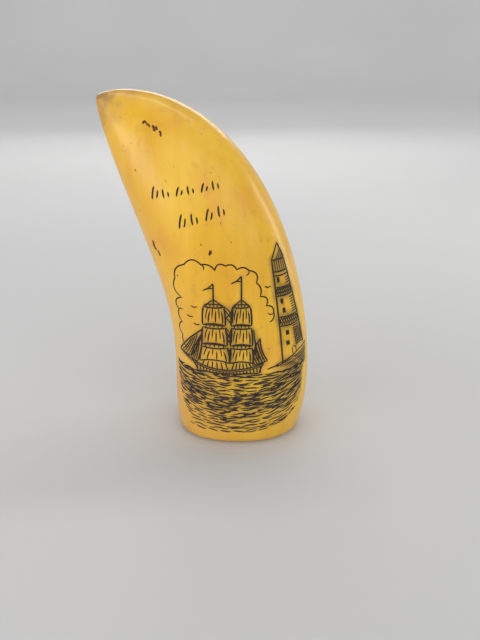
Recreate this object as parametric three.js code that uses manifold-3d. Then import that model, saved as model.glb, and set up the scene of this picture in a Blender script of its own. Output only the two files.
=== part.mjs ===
// A scrimshaw sperm whale tooth, standing on its sawn root end.
// Millimetres, +Z up. The origin is the middle of the flat root end, the engraved broad face looks
// along -Y and the tip leans toward -X.

import * as THREE from 'three';
import { mergeVertices } from 'three/addons/utils/BufferGeometryUtils.js';
import Module from 'manifold-3d';

const wasm = await Module();
wasm.setup();

// ---- Tooth: two edge curves in the XZ plane, and the rounded sections that span them ----
const ROOT_WIDTH = 54.4;
const TIP = [-53.8, 144.7];
const INNER_EDGE = [[-ROOT_WIDTH / 2, 0], [-32.8, 32.9], [-15.9, 58.6], [-42.1, 86.6], [-56.7, 141.8], TIP];
const OUTER_EDGE = [[ROOT_WIDTH / 2, 0], [38.4, 37.7], [24.8, 69.5], [25.3, 156.9], [-47.5, 151.0], TIP];
const DEPTH_RATIO_ROOT = 0.78;
const DEPTH_RATIO_TIP = 0.85;
const TIP_BLUNTNESS = 0.8;
const SECTION_SQUARENESS = 2.3;
const ROOT_EDGE_RADIUS = 3.5;
const SIDES = 48;
const RINGS = 24;
const EDGE_RINGS = 3;
const RING_SPREAD = 1.5;

// ---- Engraving: V-grooves, drawn in a plane that is the front view with its sides rolled out flat ----
const LINE_WIDTH = 0.6;
const LINE_DEPTH = 0.45;
const CUTTER_RISE = 0.3;
const LONGEST_STEP = 4;
const FACE_TOP = 0.95;
const MESH_TOLERANCE = 0.02;

// The sea fills the foot of the face inside a plain margin. Its rows rise toward both sides, and the
// lowest one is shorter than the rest.
const SEA_TOP = 34.5;
const SEA_FLOOR = 7.5;
const SEA_HALF_WIDTH = 29.5;
const SEA_RISE = 4;
const SEA_TAPER = 0.48;
const SEA_CORNER = 8;
const WAVE_ROWS = 6;
const WAVES_A_ROW = 5;
const WAVE_GAP = 0.24;
const WAVE_BULGE = 0.06;

// A two-masted ship, bow to the left. Each mast lists its place, its top and its sails' head widths.
const HULL = { bow: -21, stern: 10.5, deck: 38.4, keel: 36.9, sheer: 0.0125 };
const SAIL_LEVELS = [41.6, 49.6, 58.6, 67.8];
const SAIL_GAP = 0.9;
const MASTS = [
  { x: -10, top: 77, widths: [13.2, 10.8, 9.4, 8.4] },
  { x: 1.2, top: 80, widths: [9.6, 9.0, 8.2, 7.2] },
];
const PENNANT = { length: 4.2, drop: 3.6 };

// The lighthouse stands on a rise of the shore, at the right.
const TOWER = { foot: 42, leftEnd: 40.6, rightEnd: 46, ledge: 78.4, gallery: 80, eaves: 84.6, apex: 91 };
const TOWER_LEFT = { foot: 19.1, lean: -0.118 };
const TOWER_RIGHT = { foot: 32.7, lean: -0.285 };
const TOWER_BANDS = [[57, 61], [70, 73.6]];
const SHORE = [[12, 38.4], [18, 39.6], [24, 42.4], [31, 44.8], [34.5, 45.4]];

// Cloud lobes: the chain of points where one lobe meets the next.
const CLOUD = [
  [-22.6, 46], [-25, 51.6], [-24.6, 58], [-25.8, 63.4], [-23.6, 69.4], [-26, 77.6], [-21.4, 84.2],
  [-14.6, 84.6], [-9.2, 82.4], [-5, 84.2], [-0.6, 82.6], [4.2, 82], [7.2, 76.8], [8.8, 71], [11.4, 66.8],
  [14.6, 63.4], [12.8, 59.6],
];
const LOBE_BULGES = [0.22, 0.3, 0.18, 0.36, 0.26];

// Two rows of plain strokes, where an inscription would stand.
const STROKE_ROWS = [
  { start: [-32.6, 109.2], end: [-9, 113], heights: [5, 3.4, 3.6, 3.3, 3.5, 3.4] },
  { start: [-22.4, 98.6], end: [-7, 103.2], heights: [5.6, 4.4, 4.8, 4.2] },
];
const GULLS = [[-18.2, 65.6], [-20.3, 61], [-17.4, 57.8], [12, 74]];

// ---------------------------------------------------------------- surface

function bezier(points, t) {
  let layer = points;
  while (layer.length > 1) {
    layer = layer.slice(1).map((p, i) => [
      layer[i][0] + (p[0] - layer[i][0]) * t,
      layer[i][1] + (p[1] - layer[i][1]) * t,
    ]);
  }
  return layer[0];
}

// The section of the tooth at t, 0 at the root and 1 at the tip.
function section(t) {
  const inner = bezier(INNER_EDGE, t);
  const outer = bezier(OUTER_EDGE, t);
  const half = [(outer[0] - inner[0]) / 2, (outer[1] - inner[1]) / 2];
  const ratio = DEPTH_RATIO_ROOT + (DEPTH_RATIO_TIP - DEPTH_RATIO_ROOT) * t ** 1.5 + TIP_BLUNTNESS * t ** 12;
  return {
    x: (inner[0] + outer[0]) / 2,
    z: (inner[1] + outer[1]) / 2,
    half,
    slope: Math.atan2(half[1], half[0]),
    depth: Math.hypot(...half) * ratio,
  };
}

function rounded(value) {
  return Math.sign(value) * Math.abs(value) ** (2 / SECTION_SQUARENESS);
}

// A point of a section. The angle is 0 at the middle of the front and grows toward the outer edge.
function sectionPoint(s, angle) {
  const across = rounded(Math.sin(angle));
  return new THREE.Vector3(
    s.x + s.half[0] * across,
    -s.depth * rounded(Math.cos(angle)),
    s.z + s.half[1] * across,
  );
}

// Rounds the edge of the root end by drawing in what lies below the edge radius.
function easeRootEdge(point, s) {
  const low = THREE.MathUtils.clamp(1 - point.z / ROOT_EDGE_RADIUS, 0, 1);
  const inset = ROOT_EDGE_RADIUS * (1 - Math.sqrt(1 - low * low));
  const reach = Math.hypot(point.x - s.x, point.y);
  const keep = 1 - inset / reach;
  return new THREE.Vector3(s.x + (point.x - s.x) * keep, point.y * keep, point.z);
}

// ---------------------------------------------------------------- tooth body

// Where the rings lie on the edge curves: a few up the rounded edge of the root end, the rest above it.
function ringPositions() {
  const sample = 0.01;
  const rise = (bezier(OUTER_EDGE, sample)[1] + bezier(INNER_EDGE, sample)[1]) / 2;
  const edgeTop = (ROOT_EDGE_RADIUS / rise) * sample;
  const steps = [];
  for (let i = 0; i < EDGE_RINGS; i += 1) {
    steps.push(edgeTop * (1 - Math.cos((i / EDGE_RINGS) * (Math.PI / 2))));
  }
  for (let i = 0; i < RINGS; i += 1) {
    steps.push(edgeTop + (1 - edgeTop) * (1 - (1 - i / RINGS) ** RING_SPREAD));
  }
  return steps;
}

function toothGeometry() {
  const steps = ringPositions();
  const positions = [];
  for (const t of steps) {
    const s = section(t);
    for (let j = 0; j < SIDES; j += 1) {
      positions.push(...easeRootEdge(sectionPoint(s, (j / SIDES) * 2 * Math.PI), s));
    }
  }
  const rootCentre = positions.length / 3;
  positions.push(0, 0, 0);
  positions.push(TIP[0], 0, TIP[1]);
  const tipPole = rootCentre + 1;
  const faces = [];
  for (let j = 0; j < SIDES; j += 1) {
    const next = (j + 1) % SIDES;
    faces.push(rootCentre, next, j);
    for (let i = 0; i + 1 < steps.length; i += 1) {
      const [a, b] = [i * SIDES + j, i * SIDES + next];
      faces.push(a, b, b + SIDES, a, b + SIDES, a + SIDES);
    }
    const last = (steps.length - 1) * SIDES;
    faces.push(last + j, last + next, tipPole);
  }
  return indexedGeometry(positions, faces);
}

function indexedGeometry(positions, faces) {
  const geometry = new THREE.BufferGeometry();
  geometry.setAttribute('position', new THREE.Float32BufferAttribute(positions, 3));
  geometry.setIndex(faces);
  return geometry;
}

// ---------------------------------------------------------------- drawing plane onto the face

// The angle at which a section's girth, measured from the middle of the front, reaches a length.
function angleAtGirth(s, girth) {
  const step = Math.PI / 180;
  const side = Math.sign(girth);
  let walked = 0;
  let previous = sectionPoint(s, 0);
  for (let angle = step; angle < Math.PI / 2; angle += step) {
    const here = sectionPoint(s, side * angle);
    const length = here.distanceTo(previous);
    if (walked + length >= Math.abs(girth)) {
      return side * (angle - step + (step * (Math.abs(girth) - walked)) / length);
    }
    walked += length;
    previous = here;
  }
  return (side * Math.PI) / 2;
}

// Carries a point of the drawing plane, [x, z], onto the tooth's front.
function onFace([x, z]) {
  let low = 0;
  let high = FACE_TOP;
  let point = null;
  while (high - low > 1e-5) {
    const t = (low + high) / 2;
    const s = section(t);
    point = sectionPoint(s, angleAtGirth(s, (x - s.x) / Math.cos(s.slope)));
    if (point.z < z) low = t;
    else high = t;
  }
  return point;
}

// The direction that looks straight out of the face.
function faceNormal([x, z]) {
  const d = 0.5;
  const across = onFace([x + d, z]).sub(onFace([x - d, z]));
  const up = onFace([x, z + d]).sub(onFace([x, z - d]));
  return across.cross(up).normalize();
}

// ---------------------------------------------------------------- strokes

// A shallow arc from one point to another, bulging to the left of its run by a share of its length.
function bow(from, to, bulge, steps = 5) {
  const run = [to[0] - from[0], to[1] - from[1]];
  return Array.from({ length: steps + 1 }, (_, i) => {
    const s = i / steps;
    const lift = 4 * s * (1 - s) * bulge;
    return [from[0] + run[0] * s - run[1] * lift, from[1] + run[1] * s + run[0] * lift];
  });
}

// Splits long straight runs, so that a stroke follows the curve of the face.
function withShortSteps(points) {
  const out = [points[0]];
  for (let i = 1; i < points.length; i += 1) {
    const [a, b] = [points[i - 1], points[i]];
    const count = Math.ceil(Math.hypot(b[0] - a[0], b[1] - a[1]) / LONGEST_STEP);
    for (let k = 1; k <= count; k += 1) {
      out.push([a[0] + ((b[0] - a[0]) * k) / count, a[1] + ((b[1] - a[1]) * k) / count]);
    }
  }
  return out;
}

// The solid that a V-pointed tool sweeps along a stroke.
function strokeCutter(points) {
  const path = withShortSteps(points);
  const place = path.map(onFace);
  const spread = (LINE_WIDTH / 2) * (1 + CUTTER_RISE / LINE_DEPTH);
  const positions = [];
  path.forEach((spot, i) => {
    const along = place[Math.min(i + 1, path.length - 1)].clone().sub(place[Math.max(i - 1, 0)]);
    const normal = faceNormal(spot);
    const side = along.cross(normal).normalize();
    const top = place[i].clone().addScaledVector(normal, CUTTER_RISE);
    positions.push(...place[i].clone().addScaledVector(normal, -LINE_DEPTH));
    positions.push(...top.clone().addScaledVector(side, spread));
    positions.push(...top.clone().addScaledVector(side, -spread));
  });
  const faces = [0, 1, 2];
  for (let i = 0; i + 1 < path.length; i += 1) {
    for (let k = 0; k < 3; k += 1) {
      const [a, b] = [3 * i + k, 3 * i + ((k + 1) % 3)];
      faces.push(a, a + 3, b + 3, a, b + 3, b);
    }
  }
  const end = 3 * (path.length - 1);
  faces.push(end, end + 2, end + 1);
  return solid(indexedGeometry(positions, faces));
}

// ---------------------------------------------------------------- figures

function strokeRows() {
  return STROKE_ROWS.flatMap(({ start, end, heights }) => heights.flatMap((height, i) => {
    const s = i / (heights.length - 1);
    const x = start[0] + (end[0] - start[0]) * s;
    const z = start[1] + (end[1] - start[1]) * s;
    const lean = i % 2 ? -0.5 : 0.9;
    return [
      [[x, z], [x + lean, z + height]],
      [[x + 1.7, z + 0.5], [x + 1.7 + lean * 0.6, z + height * 0.72]],
    ];
  }));
}

function cloud() {
  const points = [CLOUD[0]];
  for (let i = 1; i < CLOUD.length; i += 1) {
    const bulge = LOBE_BULGES[(i - 1) % LOBE_BULGES.length];
    points.push(...bow(CLOUD[i - 1], CLOUD[i], bulge, 5).slice(1));
  }
  return [points];
}

function gulls() {
  return GULLS.map(([x, z]) => [[x - 1.4, z + 0.7], [x, z], [x + 1.5, z + 0.5]]);
}

function hullDeck(x) {
  const middle = (HULL.bow + HULL.stern) / 2;
  return HULL.deck + HULL.sheer * (x - middle) ** 2;
}

function hull() {
  const steps = 10;
  const deck = Array.from({ length: steps + 1 }, (_, i) => {
    const x = HULL.bow + ((HULL.stern - HULL.bow) * i) / steps;
    return [x, hullDeck(x)];
  });
  const foot = [[HULL.bow + 3.4, HULL.keel], [HULL.stern - 1.8, HULL.keel]];
  return [deck, bow(deck[0], foot[0], 0.06, 2), bow(deck[steps], foot[1], -0.06, 2), foot];
}

// A square sail between two levels: its head, its foot and the two edges between them.
function sail(mast, level) {
  const head = SAIL_LEVELS[level + 1] - SAIL_GAP;
  const foot = SAIL_LEVELS[level];
  const [low, high] = [mast.widths[level] / 2, mast.widths[level + 1] / 2];
  return [
    bow([mast.x - high, head], [mast.x + high, head], -0.05, 3),
    bow([mast.x - low, foot], [mast.x + low, foot], 0.09, 4),
    [[mast.x - low, foot], [mast.x - high, head]],
    [[mast.x + low, foot], [mast.x + high, head]],
  ];
}

function mastAndSails(mast) {
  const yard = SAIL_LEVELS[SAIL_LEVELS.length - 1];
  const peak = mast.top - PENNANT.drop;
  const reach = mast.widths[mast.widths.length - 1] / 2;
  const strokes = [
    [[mast.x, yard], [mast.x, mast.top]],
    [[mast.x - reach, yard - SAIL_GAP], [mast.x, yard + 2.4], [mast.x + reach, yard - SAIL_GAP]],
    [[mast.x, mast.top], [mast.x - PENNANT.length, peak + 0.4], [mast.x, peak + 1.4]],
  ];
  for (let level = 0; level + 1 < SAIL_LEVELS.length; level += 1) {
    strokes.push(...sail(mast, level));
  }
  return strokes;
}

function headAndSternSails() {
  const [fore, main] = MASTS;
  const bowsprit = [HULL.bow - 6.6, 44];
  const luff = [fore.x - fore.widths[2] / 2, SAIL_LEVELS[2] - 2];
  const tack = [fore.x - fore.widths[0] / 2 - 1.2, SAIL_LEVELS[0] + 0.4];
  const gaff = [main.x + main.widths[1] / 2 + 1, SAIL_LEVELS[1] - 0.6];
  const peak = [gaff[0] + 2.2, gaff[1] + 4];
  const clew = [HULL.stern + 1.6, hullDeck(HULL.stern) + 1];
  return [
    [[HULL.bow, hullDeck(HULL.bow)], bowsprit],
    [bowsprit, luff],
    bow(bowsprit, tack, 0.08, 3),
    [gaff, peak],
    bow(peak, clew, -0.08, 4),
    [clew, [gaff[0] - 1.2, SAIL_LEVELS[0]]],
  ];
}

function ship() {
  return [...hull(), ...MASTS.flatMap(mastAndSails), ...headAndSternSails()];
}

function towerEdge(edge, z) {
  return edge.foot + edge.lean * (z - TOWER.foot);
}

function lighthouse() {
  const left = (z) => [towerEdge(TOWER_LEFT, z), z];
  const right = (z) => [towerEdge(TOWER_RIGHT, z), z];
  const levels = [...TOWER_BANDS.flat(), TOWER.ledge, TOWER.gallery];
  const apex = [(left(TOWER.eaves)[0] + right(TOWER.eaves)[0]) / 2, TOWER.apex];
  return [
    [[TOWER_LEFT.foot, TOWER.leftEnd], left(TOWER.eaves)],
    [right(TOWER.rightEnd), right(TOWER.eaves)],
    ...levels.map((z) => bow(left(z), right(z), -0.04, 3)),
    [left(TOWER.eaves), right(TOWER.eaves)],
    [left(TOWER.eaves), apex, right(TOWER.eaves)],
  ];
}

function shore() {
  return [SHORE];
}

// Rows of long strokes with gaps between them.
function sea() {
  const strokes = [];
  for (let row = 0; row < WAVE_ROWS; row += 1) {
    const level = SEA_TOP - ((SEA_TOP - SEA_FLOOR) * row) / (WAVE_ROWS - 1);
    const height = (x) => level + SEA_RISE * Math.abs(x / SEA_HALF_WIDTH) ** 3;
    const reach = SEA_HALF_WIDTH - (row === WAVE_ROWS - 1 ? SEA_CORNER : SEA_TAPER * row);
    const count = WAVES_A_ROW - (row % 2);
    const pitch = (2 * reach) / count;
    for (let k = 0; k < count; k += 1) {
      const start = -reach + pitch * (k + WAVE_GAP / 2);
      const end = start + pitch * (1 - WAVE_GAP);
      strokes.push(bow([start, height(start)], [end, height(end)], k % 2 ? WAVE_BULGE : -WAVE_BULGE, 4));
    }
  }
  return strokes;
}

// ---------------------------------------------------------------- solids

function solid(geometry) {
  const merged = mergeVertices(geometry, 1e-3);
  return new wasm.Manifold(new wasm.Mesh({
    numProp: 3,
    vertProperties: merged.attributes.position.array,
    triVerts: Uint32Array.from(merged.index.array),
    tolerance: MESH_TOLERANCE,
  }));
}

function geometryOf(manifold) {
  const { vertProperties, triVerts } = manifold.getMesh();
  const geometry = indexedGeometry(vertProperties, Array.from(triVerts));
  geometry.computeVertexNormals();
  return geometry;
}

function engravedTooth() {
  const strokes = [...strokeRows(), ...cloud(), ...gulls(), ...ship(), ...lighthouse(), ...shore(), ...sea()];
  const grooves = strokes.map(strokeCutter).reduce((all, one) => all.add(one));
  return geometryOf(solid(toothGeometry()).subtract(grooves));
}

const ivory = new THREE.MeshStandardMaterial({ color: 0xe3a94a, roughness: 0.3, metalness: 0 });

const tooth = new THREE.Mesh(engravedTooth(), ivory);
tooth.name = 'tooth';

const whaleTooth = new THREE.Group();
whaleTooth.name = 'scrimshaw_whale_tooth';
whaleTooth.add(tooth);

export default whaleTooth;
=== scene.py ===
"""Looks of a scrimshaw sperm whale tooth: polished amber ivory with a picture cut into its front.

The tooth is drawn in millimetres, like the solid, and fitted to the solid's box. Its picture is drawn in
a plane, x across and z up, that is the front view with its sides rolled out flat.
"""

import math
import random

import bpy
import numpy as np
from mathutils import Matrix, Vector
from mathutils.geometry import delaunay_2d_cdt


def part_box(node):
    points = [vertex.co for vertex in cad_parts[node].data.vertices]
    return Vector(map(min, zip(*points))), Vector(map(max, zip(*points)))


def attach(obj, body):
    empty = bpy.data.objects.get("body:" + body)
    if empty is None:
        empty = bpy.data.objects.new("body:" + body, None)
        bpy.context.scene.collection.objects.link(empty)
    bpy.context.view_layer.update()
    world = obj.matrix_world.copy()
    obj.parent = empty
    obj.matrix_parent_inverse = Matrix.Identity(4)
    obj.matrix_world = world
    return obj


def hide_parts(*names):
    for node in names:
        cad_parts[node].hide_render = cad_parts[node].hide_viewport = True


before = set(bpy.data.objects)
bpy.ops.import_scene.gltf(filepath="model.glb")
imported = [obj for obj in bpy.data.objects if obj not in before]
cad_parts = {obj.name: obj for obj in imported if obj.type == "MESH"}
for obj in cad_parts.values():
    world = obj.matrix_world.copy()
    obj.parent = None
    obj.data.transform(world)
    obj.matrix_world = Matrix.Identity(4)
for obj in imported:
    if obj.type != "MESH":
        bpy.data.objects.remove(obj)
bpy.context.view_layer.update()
NODE = "tooth"
LOW, HIGH = (np.array(corner, float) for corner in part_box(NODE))

# ---- Tooth: two edge curves in the XZ plane and the rounded sections that span them, in mm ----
HEIGHT = 147.05
MM = (HIGH[2] - LOW[2]) / HEIGHT
TIP = (-53.8, 144.7)
INNER_EDGE = [(-27.2, 0), (-32.8, 32.9), (-15.9, 58.6), (-42.1, 86.6), (-56.7, 141.8), TIP]
OUTER_EDGE = [(27.2, 0), (38.4, 37.7), (24.8, 69.5), (25.3, 156.9), (-47.5, 151.0), TIP]
DEPTH_RATIO_ROOT = 0.78
DEPTH_RATIO_TIP = 0.85
TIP_BLUNTNESS = 0.8
SECTION_SQUARENESS = 2.3
ROOT_EDGE_RADIUS = 3.5

# ---- Mesh ----
SIDES = 168
RINGS = 150
EDGE_RINGS = 8
EDGE_TOP = 0.0199
FACE_ANGLE = math.radians(83)
FACE_RINGS = (10, 128)

# ---- Engraving, in mm ----
INK_WIDTH = 0.7
INK_DEPTH = 0.26
SEED = 11


# ---------------------------------------------------------------- surface of the tooth

def bezier(points, t):
    """The curve's points, one row for each t."""
    layer = [np.array(point, float) + 0 * t[:, None] for point in points]
    while len(layer) > 1:
        layer = [a + (b - a) * t[:, None] for a, b in zip(layer, layer[1:])]
    return layer[0]


def section(t):
    """Centre, half width vector and depth of the sections at t, 0 at the root and 1 at the tip."""
    inner, outer = bezier(INNER_EDGE, t), bezier(OUTER_EDGE, t)
    half = (outer - inner) / 2
    ratio = DEPTH_RATIO_ROOT + (DEPTH_RATIO_TIP - DEPTH_RATIO_ROOT) * t**1.5 + TIP_BLUNTNESS * t**12
    return (inner + outer) / 2, half, np.hypot(half[:, 0], half[:, 1]) * ratio


def rounded(value):
    return np.sign(value) * np.abs(value) ** (2 / SECTION_SQUARENESS)


def section_point(t, angle):
    """Points of the tooth. The angle is 0 at the middle of the front and grows toward the outer edge."""
    centre, half, depth = section(t)
    across = rounded(np.sin(angle))
    return np.stack([
        centre[:, 0] + half[:, 0] * across,
        -depth * rounded(np.cos(angle)),
        centre[:, 1] + half[:, 1] * across,
    ], axis=1)


def surface(t, angle):
    """section_point with the edge of the root end rounded."""
    point = section_point(t, angle)
    centre = section(t)[0]
    low = np.clip(1 - point[:, 2] / ROOT_EDGE_RADIUS, 0, 1)
    inset = ROOT_EDGE_RADIUS * (1 - np.sqrt(1 - low**2))
    reach = np.maximum(np.hypot(point[:, 0] - centre[:, 0], point[:, 1]), 1e-6)
    keep = 1 - inset / reach
    point[:, 0] = centre[:, 0] + (point[:, 0] - centre[:, 0]) * keep
    point[:, 1] *= keep
    return point


def surface_normal(t, angle):
    """Outward unit normals."""
    step = 2e-3
    t = np.clip(t, step, 1 - 2 * step)
    around = surface(t, angle + step) - surface(t, angle - step)
    along = surface(t + step / 2, angle) - surface(t - step / 2, angle)
    normal = np.cross(around, along)
    return normal / np.linalg.norm(normal, axis=1)[:, None]


# ---------------------------------------------------------------- drawing plane

LEVELS = np.linspace(0, 0.95, 96)
TURNS = np.linspace(0, math.pi / 2, 181)
SHARES = np.linspace(0, 1, 181)


def girth_tables():
    """For each level, the girth from the middle of the front to each turn, and the turn at each share of it."""
    girth, turn = [], []
    for level in LEVELS:
        ring = section_point(np.full(len(TURNS), level), TURNS)
        length = np.concatenate([[0], np.cumsum(np.linalg.norm(np.diff(ring, axis=0), axis=1))])
        girth.append(length)
        turn.append(np.interp(SHARES, length / length[-1], TURNS))
    return np.array(girth), np.array(turn)


GIRTH, TURN = girth_tables()


def look_up(table, row, column):
    """Values between the entries of a table."""
    row = np.clip(row, 0, table.shape[0] - 1.001)
    column = np.clip(column, 0, table.shape[1] - 1.001)
    i, j = row.astype(int), column.astype(int)
    u, v = row - i, column - j
    low = table[i, j] * (1 - v) + table[i, j + 1] * v
    high = table[i + 1, j] * (1 - v) + table[i + 1, j + 1] * v
    return low * (1 - u) + high * u


def to_plane(t, angle):
    """Where points of the front lie in the drawing plane."""
    centre, half, _ = section(t)
    column = np.abs(angle) / TURNS[-1] * (len(TURNS) - 1)
    girth = look_up(GIRTH, t / LEVELS[-1] * (len(LEVELS) - 1), column)
    cosine = half[:, 0] / np.hypot(half[:, 0], half[:, 1])
    across = centre[:, 0] + np.sign(angle) * girth * cosine
    return np.stack([across, section_point(t, angle)[:, 2]], axis=1)


def turn_at(t, across):
    centre, half, _ = section(t)
    cosine = half[:, 0] / np.hypot(half[:, 0], half[:, 1])
    girth = (across - centre[:, 0]) / cosine
    row = t / LEVELS[-1] * (len(LEVELS) - 1)
    quarter = look_up(GIRTH, row, np.full(len(t), len(TURNS) - 1.001))
    share = np.clip(np.abs(girth) / quarter, 0, 1)
    return np.sign(girth) * look_up(TURN, row, share * (len(SHARES) - 1))


def from_plane(points):
    """The t and the angle of points of the drawing plane."""
    low, high = np.zeros(len(points)), np.full(len(points), LEVELS[-1])
    for _ in range(26):
        t = (low + high) / 2
        below = section_point(t, turn_at(t, points[:, 0]))[:, 2] < points[:, 1]
        low, high = np.where(below, t, low), np.where(below, high, t)
    return t, turn_at(t, points[:, 0])


# ---------------------------------------------------------------- strokes

def with_end_points(points, taper):
    """Adds a point one taper in from each end, where a long step would pass over it."""
    points = list(np.array(points, float))
    for _ in range(2):
        run = points[1] - points[0]
        length = np.linalg.norm(run)
        if length > taper or len(points) == 2:
            points.insert(1, points[0] + run * min(0.5, taper / length))
        points.reverse()
    return np.array(points)


class Stroke:
    """A line cut into the tooth: its points, its width and depth in mm, and what fills it."""

    def __init__(self, points, width=INK_WIDTH, depth=INK_DEPTH, fill="ink", taper=0.9):
        self.points = with_end_points(points, taper)
        self.fill = fill
        self.depth = depth
        steps = np.linalg.norm(np.diff(self.points, axis=0), axis=1)
        along = np.concatenate([[0], np.cumsum(steps)])
        from_end = np.minimum(along, along[-1] - along)
        self.half = width / 2 * np.clip(0.3 + from_end / taper, 0.3, 1)


def bow(start, end, bulge=0.0, steps=5):
    """A shallow arc from start to end, bulging to the left of its run by a share of its length."""
    run = (end[0] - start[0], end[1] - start[1])
    points = []
    for i in range(steps + 1):
        s = i / steps
        lift = 4 * s * (1 - s) * bulge
        points.append((start[0] + run[0] * s - run[1] * lift, start[1] + run[1] * s + run[0] * lift))
    return points


def chain(corners, bulges=(0.0,), steps=5):
    """Arcs joined end to end through the corners, bulging by each of the bulges in turn."""
    points = [corners[0]]
    for i, (start, end) in enumerate(zip(corners, corners[1:])):
        points += bow(start, end, bulges[i % len(bulges)], steps)[1:]
    return points


def between(a, b, s):
    return (a[0] + (b[0] - a[0]) * s, a[1] + (b[1] - a[1]) * s)


def hatch(left, right, count, width=0.5, start=0.0, end=1.0):
    """Short strokes that cross the strip between two lines."""
    strokes = []
    for i in range(count):
        s = (i + 0.5) / count
        a, b = between(*left, s), between(*right, s)
        strokes.append(Stroke(bow(between(a, b, start), between(a, b, end), 0.03, 3), width, taper=0.4))
    return strokes


# ---------------------------------------------------------------- inscription's place, cloud, gulls

ROWS = [
    ((-32.6, 109.2), (-9.0, 113.0), (5.0, 3.4, 3.6, 3.3, 3.5, 3.4)),
    ((-22.4, 98.6), (-7.0, 103.2), (5.6, 4.4, 4.8, 4.2)),
]


def stroke_rows():
    """Two rows of plain strokes, leaning to and fro, that spell nothing."""
    strokes = []
    for start, end, heights in ROWS:
        for i, height in enumerate(heights):
            x, z = between(start, end, i / (len(heights) - 1))
            lean = -0.5 if i % 2 else 0.9
            strokes.append(Stroke(bow((x, z), (x + lean, z + height), 0.04, 4), 0.75))
            second = bow((x + 1.7, z + 0.5), (x + 1.7 + lean * 0.6, z + height * 0.72), -0.05, 3)
            strokes.append(Stroke(second, 0.7))
    return strokes


CLOUD = [
    (-22.6, 46), (-25, 51.6), (-24.6, 58), (-25.8, 63.4), (-23.6, 69.4), (-26, 77.6), (-21.4, 84.2), (-14.6, 84.6),
    (-9.2, 82.4), (-5, 84.2), (-0.6, 82.6), (4.2, 82), (7.2, 76.8), (8.8, 71), (11.4, 66.8), (14.6, 63.4),
    (12.8, 59.6),
]
LOBE_BULGES = (0.22, 0.3, 0.18, 0.36, 0.26)


def cloud():
    """The scalloped edge of a cloud, with a small curl at some of the meetings of its lobes."""
    strokes = [Stroke(chain(CLOUD, LOBE_BULGES, 9), 0.62)]
    middle = (-7.0, 66.0)
    for x, z in CLOUD[3:-1:4]:
        inward = between((x, z), middle, 0.12)
        strokes.append(Stroke(bow((x, z), inward, 0.25, 4), 0.5))
    return strokes


GULLS = [(-18.2, 65.6), (-20.3, 61.0), (-17.4, 57.8), (12.0, 74.0)]


def gulls():
    strokes = []
    for x, z in GULLS:
        strokes.append(Stroke(bow((x - 1.4, z + 0.7), (x, z), 0.2, 4), 0.62, taper=0.5))
        strokes.append(Stroke(bow((x, z), (x + 1.5, z + 0.5), 0.2, 4), 0.55, taper=0.5))
    return strokes


# ---------------------------------------------------------------- ship

BOW, STERN, DECK, KEEL, SHEER = -21.0, 10.5, 38.4, 36.9, 0.0125
SAIL_LEVELS = (41.6, 49.6, 58.6, 67.8)
SAIL_GAP = 0.9
MASTS = [
    {"x": -10.0, "top": 77.0, "widths": (13.2, 10.8, 9.4, 8.4)},
    {"x": 1.2, "top": 80.0, "widths": (9.6, 9.0, 8.2, 7.2)},
]
PENNANT = (4.2, 3.6)


def deck_height(x):
    return DECK + SHEER * (x - (BOW + STERN) / 2) ** 2


def plank(drop, inset):
    """A line along the hull, below the deck line by a drop and short of its ends."""
    xs = np.linspace(BOW + inset, STERN - inset * 0.6, 12)
    return [(x, deck_height(x) - drop) for x in xs]


def hull():
    """The deck line, stem, stern and planks."""
    deck = plank(0, 0)
    foot = ((BOW + 3.4, KEEL), (STERN - 1.8, KEEL))
    strokes = [Stroke(deck), Stroke(plank(0.8, 0.9), 0.5), Stroke([foot[0], (-5, KEEL - 0.2), foot[1]])]
    strokes.append(Stroke(bow(deck[0], foot[0], 0.06, 3)))
    strokes.append(Stroke(bow(deck[-1], foot[1], -0.06, 3)))
    for k in range(20):
        x = BOW + 3.0 + k * 1.42
        strokes.append(Stroke([(x, deck_height(x) - 0.9), (x + 0.3, KEEL + 0.15)], 0.5, taper=0.4))
    return strokes


SEAMS = (-0.72, -0.5, -0.16, 0.14, 0.46, 0.76)


def sail(mast, level):
    """A square sail with its double yard, its bowed foot, its seams and the folds at its edges."""
    head, foot = SAIL_LEVELS[level + 1] - SAIL_GAP, SAIL_LEVELS[level]
    low, high = mast["widths"][level] / 2, mast["widths"][level + 1] / 2
    x = mast["x"]
    strokes = [
        Stroke(bow((x - high, head), (x + high, head), -0.05, 5)),
        Stroke(bow((x - high * 0.94, head + 0.95), (x + high * 0.94, head + 0.8), 0.04, 5), 0.55),
        Stroke(bow((x - low, foot), (x + low, foot), 0.09, 6)),
        Stroke(bow((x - low, foot), (x - high, head), 0.03, 4), 0.8),
        Stroke(bow((x + low, foot), (x + high, head), -0.03, 4), 0.8),
    ]
    for k, share in enumerate(SEAMS):
        bottom = (x + low * share, foot + 1.2 * (1 - share**2) + (0.1 if k % 2 else 1.9))
        top = (x + high * share * 0.86 + 0.3, head - (1.7 if k % 2 else 0.2))
        strokes.append(Stroke(bow(bottom, top, -0.06 * share, 4), 0.62 if k % 2 else 0.5, taper=2.0))
    return strokes


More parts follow.
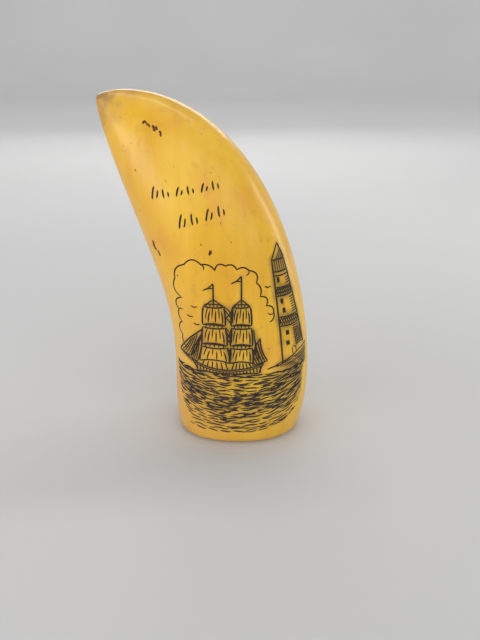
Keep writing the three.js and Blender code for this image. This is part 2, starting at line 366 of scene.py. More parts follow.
def mast_and_pennant(mast):
    yard = SAIL_LEVELS[-1]
    x, top = mast["x"], mast["top"]
    reach = mast["widths"][-1] / 2
    tail = (x - PENNANT[0], top - PENNANT[1] + 0.4)
    strokes = [
        Stroke([(x, yard), (x, (yard + top) / 2), (x, top)]),
        Stroke([(x - reach, yard - SAIL_GAP), (x, yard + 2.4)], 0.55),
        Stroke([(x, yard + 2.4), (x + reach, yard - SAIL_GAP)], 0.55),
        Stroke(bow((x, top), tail, 0.08, 4), 0.55),
        Stroke(bow(tail, (x, top - PENNANT[1] + 1.4), 0.1, 4), 0.55),
    ]
    for level in range(1, len(SAIL_LEVELS)):
        z = SAIL_LEVELS[level] - SAIL_GAP
        strokes.append(Stroke([(x, z), (x + 0.05, z + SAIL_GAP + 1.2)]))
        for side in (-0.7, -0.35, 0.35, 0.7):
            foot = x + side * mast["widths"][level] / 2
            strokes.append(Stroke([(foot, z), (foot + 0.1, z + SAIL_GAP + 0.3)], 0.5, taper=0.4))
    for k in range(6):
        foot = x + (k - 2.5) * mast["widths"][0] / 6
        above = (foot + 0.4 * (2.5 - k), SAIL_LEVELS[0] + 0.4)
        strokes.append(Stroke([(foot, deck_height(foot) + 0.2), above], 0.55, taper=0.4))
    return strokes


def fan(apex, near, far, foot, count, width=0.6):
    """Strokes from a line that bends at near, between apex and far, down to the line from foot to far."""
    strokes = []
    for k in range(1, count + 1):
        s = k / (count + 1)
        top = between(apex, near, s / 0.4) if s < 0.4 else between(near, far, (s - 0.4) / 0.6)
        strokes.append(Stroke(bow(top, between(foot, far, s), -0.05, 4), width, taper=1.4))
    return strokes


def jib(head, tack, clew, folds):
    """A three-cornered sail, with a few folds that run down from its inner edge."""
    strokes = [
        Stroke(bow(tack, head, 0.03, 6)),
        Stroke(bow(tack, clew, -0.06, 4)),
        Stroke(bow(head, clew, 0.05, 6)),
    ]
    for k in range(folds):
        s = (k + 1) / (folds + 1)
        top = between(head, tack, 0.12 + 0.4 * s)
        strokes.append(Stroke(bow(top, between(clew, tack, s), 0.04, 4), 0.5, taper=1.6))
    return strokes


def head_and_stern_sails():
    """The bowsprit with two jibs, and the fore-and-aft sail at the stern."""
    fore, main = MASTS
    bowsprit = (BOW - 6.6, 44.0)
    stay = (fore["x"] - fore["widths"][2] / 2, SAIL_LEVELS[2] - 2)
    strokes = [
        Stroke([(BOW, deck_height(BOW)), bowsprit]),
        Stroke([(BOW + 0.4, deck_height(BOW) - 1.2), between(bowsprit, (BOW, 41), 0.3)], 0.5),
    ]
    strokes += jib(stay, bowsprit, (BOW + 0.2, 42.8), 4)
    strokes += jib((stay[0] - 0.4, stay[1] - 2.2), (BOW - 0.2, 42.2), (BOW + 3.2, 40.9), 3)
    gaff = (main["x"] + main["widths"][1] / 2 + 1, SAIL_LEVELS[1] - 0.6)
    peak = (gaff[0] + 2.2, gaff[1] + 4)
    clew = (STERN + 1.6, deck_height(STERN) + 1)
    boom = (gaff[0] - 0.9, SAIL_LEVELS[0] - 0.8)
    strokes += [Stroke([gaff, peak]), Stroke(bow(peak, clew, -0.08, 5)), Stroke([clew, boom]), Stroke([gaff, boom])]
    return strokes + fan(peak, gaff, boom, clew, 5, 0.62)


def rigging():
    """Ropes crossing between the two stacks of sails, and shrouds behind the main mast."""
    fore, main = MASTS
    strokes = []
    for level in range(len(SAIL_LEVELS) - 1):
        low, high = SAIL_LEVELS[level], SAIL_LEVELS[level + 1]
        left = [(fore["x"] + fore["widths"][i] / 2, z) for i, z in ((level, low), (level + 1, high))]
        right = [(main["x"] - main["widths"][i] / 2, z) for i, z in ((level, low), (level + 1, high))]
        for a, b in ((0.95, 0.6), (0.8, 0.35), (0.5, 0.1), (0.3, 0.75)):
            strokes.append(Stroke([between(*left, a), between(*right, b)], 0.5, taper=0.5))
            strokes.append(Stroke(bow(between(*right, a), between(*right, b), 0.12, 4), 0.5, taper=0.5))
    back = main["x"] + main["widths"][0] / 2
    for k in range(3):
        strokes.append(Stroke([(back + 0.2 + k * 0.5, 57 - 4 * k), (back + 1.5 + k * 0.9, 43.4)], 0.5))
    return strokes


def ship():
    strokes = hull() + head_and_stern_sails() + rigging()
    for mast in MASTS:
        strokes += mast_and_pennant(mast)
        for level in range(len(SAIL_LEVELS) - 1):
            strokes += sail(mast, level)
    return strokes


# ---------------------------------------------------------------- lighthouse and shore

TOWER_FOOT, GALLERY, EAVES, APEX = 42.0, 80.0, 84.6, 91.0
TOWER_LEFT, TOWER_RIGHT = (19.1, -0.118), (32.7, -0.285)
TOWER_BANDS = [(57.0, 61.0), (70.0, 73.6)]
WINDOWS = [(0.24, 75.4), (0.26, 66.4), (0.3, 62.4), (0.3, 52.4), (0.26, 47.8)]
SHORE = [(12, 38.4), (18, 39.6), (24, 42.4), (31, 44.8), (34.5, 45.4)]


def tower_at(share, z):
    """A point of the tower, from its left edge to its right, at a height."""
    left = TOWER_LEFT[0] + TOWER_LEFT[1] * (z - TOWER_FOOT)
    right = TOWER_RIGHT[0] + TOWER_RIGHT[1] * (z - TOWER_FOOT)
    return (left + (right - left) * share, z)


def tower_ring(z, width=INK_WIDTH):
    return Stroke(bow(tower_at(0, z), tower_at(1, z), -0.04, 4), width)


def band(low, high):
    """A cross-hatched band round the tower."""
    strokes = [tower_ring(low, 0.6), tower_ring(high, 0.6)]
    for k in range(9):
        near, far = k / 8 * 0.86, k / 8 * 0.86 + 0.14
        strokes.append(Stroke([tower_at(near, low), tower_at(far, high)], 0.5, taper=0.3))
        strokes.append(Stroke([tower_at(far, low), tower_at(near, high)], 0.5, taper=0.3))
    return strokes


def window(share, z, height=2.2):
    """A small dark window of close upright strokes."""
    strokes = []
    for k in (-1, 0, 1):
        x = share + k * 0.05
        strokes.append(Stroke([tower_at(x, z), tower_at(x, z + height)], 0.6, taper=0.2))
    return strokes


def shading():
    """Short ticks in from the tower's right edge, all the way up between the bands, denser at the foot."""
    strokes = []
    z = 47.6
    while z < GALLERY - 2:
        if not any(low - 0.6 < z < high + 0.6 for low, high in TOWER_BANDS):
            reach = 0.56 if z < 57 else 0.7
            strokes.append(Stroke(bow(tower_at(reach, z - 0.3), tower_at(0.98, z), -0.03, 3), 0.5, taper=0.5))
        z += 1.05
    for k in range(5):
        share = 0.62 + 0.08 * k
        strokes.append(Stroke([tower_at(share, 46.4 + k * 0.4), tower_at(share, 54.6)], 0.5, taper=0.5))
    return strokes


def lantern():
    """The lamp room between the gallery and the eaves, under its pointed roof."""
    left, right = tower_at(-0.05, EAVES), tower_at(1.05, EAVES)
    apex = (between(left, right, 0.5)[0], APEX)
    strokes = [Stroke([left, right]), Stroke([left, apex]), Stroke([apex, right]), tower_ring(GALLERY)]
    strokes.append(tower_ring(GALLERY - 1.6, 0.6))
    for k in range(1, 6):
        strokes.append(Stroke([tower_at(k / 6, GALLERY), tower_at(k / 6, EAVES)], 0.5, taper=0.3))
    for k in range(2, 6):
        strokes.append(Stroke([between(left, right, k / 6), between(apex, right, 0.15 + 0.12 * k)], 0.5, taper=0.3))
    return strokes


def lighthouse():
    left = [(TOWER_LEFT[0], 40.6)] + [tower_at(0, z) for z in (50, 60, 70, EAVES)]
    right = [tower_at(1, z) for z in (46, 54, 62, 70, 78, EAVES)]
    strokes = [Stroke(left, 0.75), Stroke(right, 0.75)]
    for low, high in TOWER_BANDS:
        strokes += band(low, high)
    for share, z in WINDOWS:
        strokes += window(share, z)
    door = [tower_at(0.4, 43.0), tower_at(0.4, 45.8), tower_at(0.48, 46.8), tower_at(0.56, 45.9), tower_at(0.56, 43.7)]
    strokes.append(Stroke(door, 0.55))
    return strokes + shading() + lantern()


def shore():
    """The rise that the lighthouse stands on, with long strokes down its slope."""
    strokes = [Stroke(chain(SHORE, (0.05,), 4))]
    for k in range(9):
        drop = 1.0 + 0.95 * k
        start = (14.6 + 1.6 * k, 39.2 - 0.35 * k)
        end = (34.3, 45.6 - drop)
        middle = between(start, end, 0.46 + 0.06 * math.sin(k * 2.4))
        strokes.append(Stroke(bow(start, between(start, middle, 0.92), 0.06, 4), 0.55, taper=3.5))
        strokes.append(Stroke(bow(middle, end, -0.05, 4), 0.55, taper=2.0))
    return strokes


# ---------------------------------------------------------------- sea

SEA_TOP = 36.4
SEA_ROWS = 23
SEA_FLECKS = 190


def sea_floor(x):
    """The lower border of the sea, which rises a little to the right and steeply at both corners."""
    rise = 6.2 + (0.0072 if x > -5 else 0.003) * (x + 5) ** 2
    left, right = max(0.0, -20 - x), max(0.0, x - 24)
    return rise + 0.19 * left**2 + 0.16 * right**2


def sea_height(x, share):
    """The height of a row, from the floor at 0 to the water line at 1."""
    floor = 6.2 + (0.0072 if x > -5 else 0.003) * (x + 5) ** 2
    top = SEA_TOP + 0.0012 * x * x
    sag = 4.2 * math.sin(math.pi * share) * abs(x / 30) ** 2.2
    return floor + (top - floor) * share + sag


def in_sea(x, z):
    """Inside the sea's border, which leaves out the hull and the shore."""
    top = 37.4 if -21 < x < 11 else 38.4
    shore = 37.9
    return -31.4 < x < 31.8 and sea_floor(x) < z < (top if x < 11 else shore)


def wavelet(rng, x, share, length, swell, breadth):
    """One wavy stroke, thick in its middle, where it lies inside the border of the sea."""
    spacing = (sea_height(x, 1) - sea_height(x, 0)) / (SEA_ROWS - 1)
    tilt, phase = rng.uniform(-0.04, 0.04), rng.uniform(0, 2 * math.pi)
    lift, pace = rng.uniform(-0.3, 0.3) * spacing, rng.uniform(0.6, 1.0)
    points = []
    for i in range(7):
        at = x + length * i / 6
        z = sea_height(at, share) + lift + tilt * (at - x) + swell * math.sin(phase + at * pace)
        if in_sea(at, z):
            points.append((at, z))
    return [Stroke(points, breadth * spacing, taper=length / 3)] if len(points) > 2 else []


def sea():
    """Rows of wavelets from side to side, and shorter ones between them that darken the middle."""
    rng = random.Random(SEED)
    strokes = []
    for row in range(SEA_ROWS):
        x = -33 + rng.uniform(0, 3)
        while x < 31:
            length = rng.uniform(3.5, 9.5)
            share = row / (SEA_ROWS - 1)
            strokes += wavelet(rng, x, share, length, rng.uniform(0.15, 0.42), rng.uniform(0.42, 0.64))
            x += length + rng.uniform(0.2, 1.0)
    for _ in range(SEA_FLECKS):
        row = round(min(0.96, max(0.0, rng.gauss(0.6, 0.22))) * (SEA_ROWS - 1)) + 0.5
        x = rng.uniform(-28, 27)
        strokes += wavelet(rng, x, row / (SEA_ROWS - 1), rng.uniform(1.8, 4.4), 0.2, rng.uniform(0.4, 0.62))
    return strokes


# ---------------------------------------------------------------- natural flaws

FLAWS = [
    ([(-34.9, 136.0), (-34.3, 137.0), (-33.4, 136.5)], 0.8),
    ([(-33.6, 135.5), (-32.7, 135.9), (-32.3, 135.0)], 0.65),
    ([(-31.7, 135.5), (-31.0, 134.4), (-30.2, 134.9), (-29.9, 134.0)], 1.0),
    ([(-31.3, 133.9), (-30.4, 133.6)], 0.75),
    ([(-29.2, 133.6), (-28.4, 132.9), (-28.2, 131.9)], 0.85),
    ([(-35.7, 91.8), (-34.9, 90.0), (-33.6, 88.4)], 1.15),
    ([(-33.5, 88.0), (-32.6, 86.9), (-31.9, 86.1)], 0.95),
    ([(-11.1, 90.4), (-10.8, 89.4), (-10.9, 88.4)], 1.2),
    ([(-39.0, 119.9), (-38.7, 119.2)], 0.6),
    ([(-25.0, 79.3), (-24.7, 78.6)], 0.55),
    ([(-14.6, 92.9), (-14.2, 92.3)], 0.45),
    ([(9.6, 43.9), (9.9, 43.2)], 0.5),
    ([(-3.0, 93.8), (-2.7, 93.3)], 0.4),
    ([(12.4, 48.0), (12.9, 47.6)], 0.45),
]


def flaws():
    """Pits, worm tracks and nicks that the ivory itself has, brown inside."""
    strokes = []
    for corners, width in FLAWS:
        strokes.append(Stroke(chain(corners, (0.25, -0.2), 3), width, width * 0.4, "pit", width * 0.6))
    return strokes


# ---------------------------------------------------------------- mesh of the tooth

def ring_steps():
    steps = [EDGE_TOP * (1 - math.cos(i / EDGE_RINGS * math.pi / 2)) for i in range(EDGE_RINGS)]
    steps += [EDGE_TOP + (1 - EDGE_TOP) * (1 - (1 - i / RINGS) ** 1.5) for i in range(RINGS)]
    return np.array(steps)


CELL = 6.0
HAZE_REACH = 5.0


def closest_strokes(points, strokes):
    """For each point, how deep the strokes cut there, what fills the deepest one, and how crowded they are."""
    starts = np.concatenate([s.points[:-1] for s in strokes])
    ends = np.concatenate([s.points[1:] for s in strokes])
    half_a = np.concatenate([s.half[:-1] for s in strokes])
    half_b = np.concatenate([s.half[1:] for s in strokes])
    depth = np.concatenate([np.full(len(s.points) - 1, s.depth) for s in strokes])
    pit = np.concatenate([np.full(len(s.points) - 1, s.fill == "pit") for s in strokes])
    low, high = np.minimum(starts, ends) - HAZE_REACH, np.maximum(starts, ends) + HAZE_REACH
    cut, filled, crowd = np.zeros((3, len(points)))
    cells, owner = np.unique(np.floor(points / CELL), axis=0, return_inverse=True)
    owner = owner.reshape(-1)
    for number, cell in enumerate(cells * CELL):
        near = np.all((low < cell + CELL) & (high > cell), axis=1)
        if near.any():
            inside = np.flatnonzero(owner == number)
            run = ends[near] - starts[near]
            length2 = np.maximum((run**2).sum(axis=1), 1e-9)
            offset = points[inside][:, None, :] - starts[near][None]
            s = np.clip((offset * run).sum(axis=2) / length2, 0, 1)
            away = np.linalg.norm(offset - s[..., None] * run, axis=2)
            half = half_a[near] + (half_b[near] - half_a[near]) * s
            share = np.clip(1 - away / half, 0, 1)
            best = (share * depth[near]).argmax(axis=1)
            deepest = share[np.arange(len(inside)), best]
            cut[inside] = deepest * depth[near][best]
            filled[inside] = np.where(deepest > 1e-4, np.where(pit[near][best], 2, 1), 0)
            crowd[inside] = (np.exp(-((away / 1.6) ** 2)) * np.sqrt(length2) * ~pit[near]).sum(axis=1)
    return cut, filled, crowd


def stroke_outline(stroke):
    """Left border, centre line and right border of a stroke, as points and edges."""
    points = stroke.points
    ahead = np.vstack([points[1:], points[-1:]])
    behind = np.vstack([points[:1], points[:-1]])
    run = ahead - behind
    run /= np.maximum(np.linalg.norm(run, axis=1), 1e-9)[:, None]
    side = np.stack([-run[:, 1], run[:, 0]], axis=1) * stroke.half[:, None]
    count = len(points)
    edges = [(k * count + i, k * count + i + 1) for k in range(3) for i in range(count - 1)]
    edges += [(0, count), (count, 2 * count), (count - 1, 2 * count - 1), (2 * count - 1, 3 * count - 1)]
    return np.vstack([points + side, points, points - side]), edges


class Tooth:
    """Collects the vertices and faces: plain rings, and an engraved face cut in where the picture is."""

    def __init__(self, strokes):
        self.strokes = strokes
        self.steps = ring_steps()
        self.angles = np.arange(SIDES) / SIDES * 2 * math.pi
        self.columns = int(FACE_ANGLE / (2 * math.pi) * SIDES)
        self.params = [(t, a) for t in self.steps for a in self.angles]
        self.cut = [0.0] * len(self.params)
        self.crowd = [0.0] * len(self.params)
        self.faces = []
        self.fills = []

    def ring_index(self, ring, column):
        return ring * SIDES + column % SIDES

    def add_plain_rings(self):
        first, last = FACE_RINGS
        for ring in range(len(self.steps) - 1):
            for column in range(-(SIDES // 2), SIDES // 2):
                inside = first <= ring < last and -self.columns <= column < self.columns
                if not inside:
                    a, b = self.ring_index(ring, column), self.ring_index(ring, column + 1)
                    c, d = self.ring_index(ring + 1, column + 1), self.ring_index(ring + 1, column)
                    self.faces.append((a, b, c, d))
                    self.fills.append(0)

    def add_engraved_face(self):
        first, last = FACE_RINGS
        columns = range(-self.columns, self.columns + 1)
        grid = [(ring, column) for ring in range(first, last + 1) for column in columns]
        owners = [self.ring_index(*spot) for spot in grid]
        t = np.array([self.steps[ring] for ring, _ in grid])
        angle = np.array([column / SIDES * 2 * math.pi for _, column in grid])
        points = [to_plane(t, angle)]
        place = {spot: i for i, spot in enumerate(grid)}
        border = [(first, c) for c in columns] + [(r, self.columns) for r in range(first + 1, last + 1)]
        border += [(last, c) for c in reversed(columns)][1:] + [(r, -self.columns) for r in range(last - 1, first, -1)]
        loop = [place[spot] for spot in border]
        edges = []
        count = len(grid)
        for stroke in self.strokes:
            outline, links = stroke_outline(stroke)
            edges += [(a + count, b + count) for a, b in links]
            points.append(outline)
            count += len(outline)
        points = np.vstack(points)
        result = delaunay_2d_cdt([Vector(p) for p in points], edges, [loop], 1, 1e-4, True)
        self.add_triangles(result, owners, t, angle)

    def add_triangles(self, result, owners, grid_t, grid_angle):
        """Turns the triangles of the drawing plane into faces of the tooth."""
        plane = np.array([tuple(v) for v in result[0]])
        cut, filled, crowd = closest_strokes(plane, self.strokes)
        t, angle = from_plane(plane)
        names = []
        for i, origins in enumerate(result[3]):
            own = [o for o in origins if o < len(owners)]
            if own:
                names.append(owners[own[0]])
                t[i], angle[i] = grid_t[own[0]], grid_angle[own[0]]
                self.cut[names[-1]] = cut[i]
                self.crowd[names[-1]] = crowd[i]
            else:
                names.append(len(self.params))
                self.params.append((t[i], angle[i]))
                self.cut.append(cut[i])
                self.crowd.append(crowd[i])
        triangles = np.array([tuple(face) for face, inside in zip(result[2], result[5]) if inside])
        _, fill, _ = closest_strokes(plane[triangles].mean(axis=1), self.strokes)
        for face, kind in zip(triangles, fill):
            self.faces.append(tuple(names[v] for v in face))
            self.fills.append(int(kind))

    def add_tip(self):
        """Closes the tip with a fan."""
        pole = len(self.params)
        self.params.append((1.0, 0.0))
        self.cut.append(0.0)
        self.crowd.append(0.0)
        last = len(self.steps) - 1
        for column in range(SIDES):
            self.faces.append((self.ring_index(last, column), self.ring_index(last, column + 1), pole))
            self.fills.append(0)

    def places(self):
        """All vertex positions in mm, and the smooth normals there."""
        t, angle = np.array(self.params).T
        normal = surface_normal(t, angle)
        return surface(t, angle) - normal * np.array(self.cut)[:, None], normal


ROOT_RINGS = 26


def root_end(first_vertex):
    """The sawn root end: faint growth rings and a small closed pit in the middle, all above the floor."""
    rim = surface(np.zeros(SIDES), np.arange(SIDES) / SIDES * 2 * math.pi)
    points, faces = [], []
    for k in range(1, ROOT_RINGS):
        share = 1 - k / ROOT_RINGS
        ring = rim * share
        ring[:, 2] = 0.07 * (1 - math.cos(k * 2.1)) * min(1, k / 3) + 1.6 * math.exp(-((share / 0.11) ** 2))
        points.append(ring)
    for k in range(ROOT_RINGS - 1):
        for column in range(SIDES):
            following = (column + 1) % SIDES
            outer = column if k == 0 else first_vertex + (k - 1) * SIDES + column
            outer_next = following if k == 0 else first_vertex + (k - 1) * SIDES + following
            inner, inner_next = first_vertex + k * SIDES + column, first_vertex + k * SIDES + following
            faces.append((outer, inner, inner_next, outer_next))
    centre = first_vertex + (ROOT_RINGS - 1) * SIDES
    points.append(np.array([[0, 0, 1.75]]))
    for column in range(SIDES):
        inner = centre - SIDES + column
        faces.append((inner, centre, centre - SIDES + (column + 1) % SIDES))
    return np.vstack(points), faces


def fit_to_solid(points):
    """Draws the fine surface in to the box that the solid fills."""
    low, high = points.min(axis=0), points.max(axis=0)
    return LOW + (points - low) / (high - low) * (HIGH - LOW)


def build_tooth():
    """One closed mesh with smooth normals on the ivory and crisp ones in the cuts."""
    strokes = stroke_rows() + cloud() + gulls() + ship() + lighthouse() + shore() + sea() + flaws()
    tooth = Tooth(strokes)
    tooth.add_plain_rings()
    tooth.add_engraved_face()
    tooth.add_tip()
    points, smooth = tooth.places()
    root_points, root_faces = root_end(len(points))
    faces = tooth.faces + root_faces
    kinds = tooth.fills + [3] * len(root_faces)
    mesh = bpy.data.meshes.new("whale_tooth")
    mesh.from_pydata(fit_to_solid(np.vstack([points, root_points])).tolist(), [], faces)
    for material in (polished_ivory(), pigment(), brown_pit(), sawn_root()):
        mesh.materials.append(material)
    mesh.polygons.foreach_set("material_index", kinds)
    mesh.shade_smooth()
    mesh.update()
    set_normals(mesh, smooth)
    crowd = mesh.attributes.new("pigment_haze", "FLOAT", "POINT")
    values = np.concatenate([tooth.crowd, np.zeros(len(root_points))])
    crowd.data.foreach_set("value", np.clip(values / 16.0, 0, 1).astype(np.float32))
    return bpy.data.objects.new("scrimshaw_tooth", mesh)


def set_normals(mesh, smooth):
    """Gives the ivory its true smooth normals, and leaves the cuts and the root end faceted."""
    normals = []
    for polygon in mesh.polygons:
        flat = tuple(polygon.normal)
        for vertex in polygon.vertices:
            if polygon.material_index == 0 and vertex < len(smooth):
                normals.append(tuple(smooth[vertex]))
            else:
                normals.append(flat)
    mesh.normals_split_custom_set(normals)


# ---------------------------------------------------------------- materials

def srgb(red, green, blue):
    """A display colour, 0 to 255, as the linear colour that a shader takes."""
    def linear(value):
        value /= 255
        return value / 12.92 if value <= 0.04045 else ((value + 0.055) / 1.055) ** 2.4
    return (linear(red), linear(green), linear(blue), 1.0)


class Nodes:
    """A short way to write a node material."""

    def __init__(self, name):
        self.material = bpy.data.materials.new(name)
        self.material.use_nodes = True
        self.tree = self.material.node_tree
        self.shader = self.tree.nodes["Principled BSDF"]

    def add(self, kind, **inputs):
        node = self.tree.nodes.new(kind)
        for key, value in inputs.items():
            node.inputs[key.replace("_", " ")].default_value = value
        return node

    def link(self, source, target):
        self.tree.links.new(source, target)

    def place(self):
        """Object coordinates, in metres."""
        return self.add("ShaderNodeTexCoord").outputs["Object"]

    def noise(self, scale, stretch=(1, 1, 1), detail=3.0, roughness=0.55, shift=(0, 0, 0)):
        mapping = self.add("ShaderNodeMapping")
        mapping.inputs["Scale"].default_value = stretch
        mapping.inputs["Location"].default_value = shift
        self.link(self.place(), mapping.inputs["Vector"])
        noise = self.add("ShaderNodeTexNoise", Scale=scale, Detail=detail, Roughness=roughness)
        self.link(mapping.outputs["Vector"], noise.inputs["Vector"])
        return noise.outputs["Fac"]

    def ramp(self, source, stops):
        """A colour ramp; each stop is a place and a colour."""
        ramp = self.add("ShaderNodeValToRGB")
        elements = ramp.color_ramp.elements
        while len(elements) < len(stops):
            elements.new(0.5)
        for element, (position, colour) in zip(elements, stops):
            element.position = position
            element.color = colour
        self.link(source, ramp.inputs["Fac"])
        return ramp.outputs["Color"]

    def share(self, source, low, high, start=0.0, end=1.0):
        """Maps a range of values onto another, held at its ends."""
        node = self.tree.nodes.new("ShaderNodeMapRange")
        self.link(source, node.inputs["Value"])
        for key, value in zip(("From Min", "From Max", "To Min", "To Max"), (low, high, start, end)):
            node.inputs[key].default_value = value
        return node.outputs["Result"]

    def mix(self, share, first, second, blend="MIX"):
        node = self.tree.nodes.new("ShaderNodeMix")
        node.data_type = "RGBA"
        node.blend_type = blend
        self.put(share, node.inputs["Factor"])
        self.put(first, node.inputs["A"] if not node.inputs["A"].is_unavailable else node.inputs[6])
        self.put(second, node.inputs["B"] if not node.inputs["B"].is_unavailable else node.inputs[7])
        return node.outputs[2]

    def put(self, value, socket):
        if isinstance(value, bpy.types.NodeSocket):
            self.link(value, socket)
        else:
            socket.default_value = value

    def maths(self, operation, first, second=0.0):
        node = self.tree.nodes.new("ShaderNodeMath")
        node.operation = operation
        self.put(first, node.inputs[0])
        self.put(second, node.inputs[1])
        return node.outputs[0]

    def axis(self, name):
        split = self.add("ShaderNodeSeparateXYZ")
        self.link(self.place(), split.inputs["Vector"])
        return split.outputs[name]

    def distance(self, x, y, z):
        """How far each place is from a point, in metres."""
        node = self.tree.nodes.new("ShaderNodeVectorMath")
        node.operation = "DISTANCE"
        self.link(self.place(), node.inputs[0])
        node.inputs[1].default_value = (x, y, z)
        return node.outputs["Value"]

    def bump(self, height, strength, distance):
        node = self.add("ShaderNodeBump", Strength=strength, Distance=distance)
        self.link(height, node.inputs["Height"])
        self.link(node.outputs["Normal"], self.shader.inputs["Normal"])


def polished_ivory():
    """Old ivory polished to an amber yellow and streaked along its growth; its inner side is paler from a painted
    reflection, and it darkens toward the root end with painted shade.
    """
    n = Nodes("polished_ivory")
    cloudy = n.noise(34, (1, 1, 0.5), 2.0)
    streaks = n.noise(190, (1.0, 1.0, 0.10), 3.0, 0.6)
    colour = n.ramp(cloudy, [(0.3, srgb(228, 169, 34)), (0.5, srgb(240, 187, 46)), (0.72, srgb(248, 201, 66))])
    colour = n.mix(n.share(streaks, 0.52, 0.75, 0.0, 0.3), colour, srgb(212, 142, 36))
    colour = n.mix(n.share(streaks, 0.28, 0.46, 0.25, 0.0), colour, srgb(250, 208, 104))
    # Painted reflection: the inner (left) side, more so toward the tip, is mixed toward a paler pinkish tone that
    # stands in for the window's reflection down that side.
    pale = n.share(n.maths("ADD", n.axis("X"), n.maths("MULTIPLY", n.axis("Z"), 0.35)), 0.012, -0.022, 0.0, 0.5)
    colour = n.mix(pale, colour, srgb(236, 180, 98))
    rosy = n.noise(60, (1, 1, 1), 2.0, shift=(3, 1, 0))
    colour = n.mix(n.share(rosy, 0.56, 0.72, 0.0, 0.35), colour, srgb(232, 150, 70))
    mottle = n.noise(260, (1, 1, 0.8), 3.0, 0.6, shift=(2, 2, 6))
    colour = n.mix(n.share(mottle, 0.58, 0.72, 0.0, 0.22), colour, srgb(186, 124, 56))
    specks = n.noise(620, (1, 1, 0.6), 1.0, shift=(0, 5, 2))
    colour = n.mix(n.share(specks, 0.74, 0.80, 0.0, 0.6), colour, srgb(140, 82, 36))
    tip = n.share(n.distance(TIP[0] / 1000 + 0.002, 0, TIP[1] / 1000), 0.017, 0.003, 0.0, 1.0)
    grime = n.share(n.noise(210, (1, 1, 1), 3.0, shift=(7, 0, 1)), 0.38, 0.6, 0.25, 0.85)
    colour = n.mix(n.maths("MULTIPLY", tip, grime), colour, srgb(150, 112, 84))
    # Painted shade: the colour darkens to a deeper amber toward the root end, standing in for the shade on the tooth's
    # lower part.
    root = n.share(n.axis("Z"), 0.034, 0.0, 0.0, 0.4)
    colour = n.mix(root, colour, srgb(196, 142, 44))
    haze = n.add("ShaderNodeAttribute")
    haze.attribute_name = "pigment_haze"
    colour = n.mix(n.share(haze.outputs["Fac"], 0.22, 1.0, 0.0, 0.62), colour, srgb(112, 96, 44))
    n.link(colour, n.shader.inputs["Base Color"])
    n.link(n.share(streaks, 0.3, 0.7, 0.3, 0.42), n.shader.inputs["Roughness"])
    n.shader.inputs["Specular IOR Level"].default_value = 0.38
    n.shader.inputs["Coat Weight"].default_value = 0.2
    n.shader.inputs["Coat Roughness"].default_value = 0.16
    n.shader.inputs["Subsurface Weight"].default_value = 0.08
    n.shader.inputs["Subsurface Radius"].default_value = (0.006, 0.003, 0.001)
    n.shader.inputs["Subsurface Scale"].default_value = 0.5
    uneven = n.noise(120, (1, 1, 0.6), 2.0, shift=(4, 4, 4))
    n.bump(n.maths("ADD", uneven, n.maths("MULTIPLY", n.noise(900, (1, 1, 0.5), 2.0), 0.12)), 0.5, 0.0006)
    return n.material


def pigment():
    """Lamp black and oil rubbed into the cuts, worn thin here and there."""
    n = Nodes("rubbed_pigment")
    wear = n.noise(700, (1, 1, 1), 2.0)
    n.link(n.ramp(wear, [(0.3, srgb(26, 18, 14)), (0.75, srgb(66, 44, 24))]), n.shader.inputs["Base Color"])
    n.shader.inputs["Roughness"].default_value = 0.55
    return n.material


def brown_pit():
    """Old grime in the ivory's own pits."""
    n = Nodes("grime_in_pits")
    wear = n.noise(900, (1, 1, 1), 2.0)
    n.link(n.ramp(wear, [(0.3, srgb(70, 34, 18)), (0.7, srgb(138, 84, 54))]), n.shader.inputs["Base Color"])
    n.shader.inputs["Roughness"].default_value = 0.7
    return n.material


def sawn_root():
    """The sawn end: pale cementum outside, yellower dentine inside, in oval growth rings, with saw marks."""
    n = Nodes("sawn_root_end")
    across = n.maths("DIVIDE", n.axis("X"), 0.0272)
    deep = n.maths("DIVIDE", n.axis("Y"), 0.0212)
    squares = n.maths("ADD", n.maths("MULTIPLY", across, across), n.maths("MULTIPLY", deep, deep))
    radius = n.maths("SQRT", squares)
    wobble = n.maths("MULTIPLY", n.noise(90, (1, 1, 1), 2.0), 0.12)
    rings = n.maths("ADD", radius, wobble)
    colour = n.ramp(rings, [
        (0.0, srgb(120, 84, 48)), (0.16, srgb(196, 152, 84)), (0.62, srgb(224, 186, 112)), (0.86, srgb(206, 164, 92)),
        (0.9, srgb(232, 204, 146)), (1.0, srgb(226, 190, 122)),
    ])
    fine = n.maths("SINE", n.maths("MULTIPLY", rings, 95.0))
    colour = n.mix(n.share(fine, 0.2, 1.0, 0.0, 0.22), colour, srgb(170, 122, 62))
    n.link(colour, n.shader.inputs["Base Color"])
    n.shader.inputs["Roughness"].default_value = 0.5
    n.bump(n.noise(400, (0.1, 1, 1), 2.0), 0.25, 0.0003)
    return n.material


def pale_floor():
    n = Nodes("pale_floor")
    tone = n.noise(3, (1, 1, 1), 1.0)
    n.link(n.ramp(tone, [(0.3, (0.62, 0.62, 0.61, 1)), (0.7, (0.65, 0.65, 0.64, 1))]), n.shader.inputs["Base Color"])
    n.shader.inputs["Roughness"].default_value = 0.8
    return n.material


# ---------------------------------------------------------------- scene

def add(obj):
    bpy.context.scene.collection.objects.link(obj)
    return obj


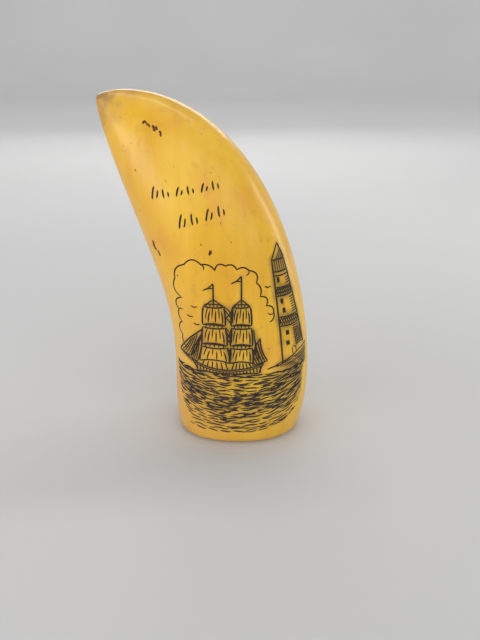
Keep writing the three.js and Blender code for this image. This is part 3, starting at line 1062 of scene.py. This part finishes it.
def floor():
    """A pale bowl: flat under the tooth, and curving up all round far away from it."""
    flat, curve, sides = 1.5, 0.8, 96
    profile = [(flat, 0.0)]
    for i in range(1, 17):
        turn = i / 16 * math.pi / 2
        profile.append((flat + curve * math.sin(turn), curve * (1 - math.cos(turn))))
    vertices, faces = [(0, 0, 0)], []
    for radius, z in profile:
        for j in range(sides):
            turn = j / sides * 2 * math.pi
            vertices.append((radius * math.cos(turn), radius * math.sin(turn), z))
    for j in range(sides):
        here, following = 1 + j, 1 + (j + 1) % sides
        faces.append((0, here, following))
        for i in range(len(profile) - 1):
            a, b = here + i * sides, following + i * sides
            faces.append((a, a + sides, b + sides, b))
    mesh = bpy.data.meshes.new("floor")
    mesh.from_pydata(vertices, [], faces)
    mesh.materials.append(pale_floor())
    mesh.shade_smooth()
    return add(bpy.data.objects.new("floor", mesh))


def soft_light(name, place, target, size, power, colour=(1, 1, 1)):
    light = bpy.data.lights.new(name, "AREA")
    light.shape = "RECTANGLE"
    light.size, light.size_y = size
    light.energy = power
    light.color = colour
    obj = add(bpy.data.objects.new(name, light))
    obj.location = place
    obj.rotation_euler = (Vector(target) - Vector(place)).to_track_quat("-Z", "Y").to_euler()
    obj.visible_camera = False
    return obj


def lights():
    """A soft window low at the left, a dim strip behind the right side, and broad light in front and above."""
    middle = (0, 0, 0.08)
    soft_light("window", (-0.45, -0.38, 0.14), (-0.02, 0, 0.1), (0.40, 0.26), 1.15, (0.97, 0.94, 1.0))
    soft_light("pane", (-0.50, -0.10, 0.32), (-0.05, 0, 0.14), (0.10, 0.10), 0.16, (0.8, 0.85, 1.0))
    soft_light("strip", (0.52, 0.20, 0.17), middle, (0.12, 0.32), 0.55, (1.0, 0.98, 0.94))
    soft_light("back", (-0.05, 0.85, 0.36), middle, (0.8, 0.08), 1.2)
    soft_light("front", (0.5, -1.2, 0.58), middle, (2.2, 1.1), 9.0)
    soft_light("top", (0.1, -0.1, 1.2), middle, (1.0, 1.0), 2.2)
    soft_light("wash", (0, 0.5, 1.5), (0, 2.2, 0.3), (1.6, 0.6), 16.0)
    world = bpy.data.worlds.new("pale_room")
    world.use_nodes = True
    world.node_tree.nodes["Background"].inputs["Color"].default_value = (0.86, 0.87, 0.9, 1)
    world.node_tree.nodes["Background"].inputs["Strength"].default_value = 0.36
    bpy.context.scene.world = world
    bpy.context.scene.view_settings.view_transform = "Standard"


CAMERA_BACK, CAMERA_UP, CAMERA_DOWN = 256.5, 168.4, 24.61


def camera():
    """Looks down on the front from a hand's height above the tooth."""
    data = bpy.data.cameras.new("camera")
    data.lens = 36
    data.sensor_width = 36
    data.clip_start = 0.01
    obj = add(bpy.data.objects.new("camera", data))
    obj.location = (0.6 * MM, -CAMERA_BACK * MM, CAMERA_UP * MM)
    obj.rotation_euler = (math.radians(90 - CAMERA_DOWN), 0, 0)
    bpy.context.scene.camera = obj


camera()
tooth_piece = add(build_tooth())
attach(tooth_piece, "root")
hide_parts(NODE)
floor()
lights()
